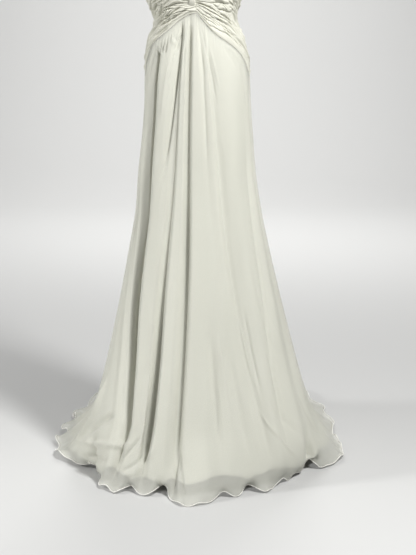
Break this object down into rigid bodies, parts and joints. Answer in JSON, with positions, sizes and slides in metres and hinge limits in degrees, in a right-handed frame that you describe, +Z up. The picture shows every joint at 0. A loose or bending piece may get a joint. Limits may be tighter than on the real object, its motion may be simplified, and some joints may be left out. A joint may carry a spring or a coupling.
{
  "type": "wedding dress",
  "caption": "Strapless floor-length wedding dress with a ruched bodice twisted at centre front, an inverted V seam and a long falling skirt with a train, hollow as worn.",
  "frame": {"origin": "centre of the wearer's waist, where the dress is held up", "axes": "+Z up, -Y the dress's front, +X the right-hand side seen from the front"},
  "size_m": [0.8423, 1.3697, 1.4465],
  "materials": {
    "ruched_chiffon": "soft matte chiffon pleats",
    "chiffon": "sheer matte chiffon",
    "lining_satin": "soft satin",
    "zip_enamel": "ivory enamel"
  },
  "bodies": {
    "dress": {"bodice_front_left": "ruched_chiffon", "bodice_front_right": "ruched_chiffon", "bodice_back_left": "ruched_chiffon", "bodice_back_right": "ruched_chiffon", "centre_twist": "ruched_chiffon", "skirt_front": "chiffon", "skirt_back_left": "chiffon", "skirt_back_right": "chiffon", "lining_front": "lining_satin", "lining_back_left": "lining_satin", "lining_back_right": "lining_satin", "zip_slider": "zip_enamel"},
    "zip_pull": {"zip_pull": "zip_enamel"}
  },
  "joints": [
    {"name": "pull_swing", "type": "hinge", "parent": "dress", "child": "zip_pull", "pos_m": [0, 0.10319, 0.146], "axis": [1, 0, 0], "range_deg": [0, 150]}
  ]
}
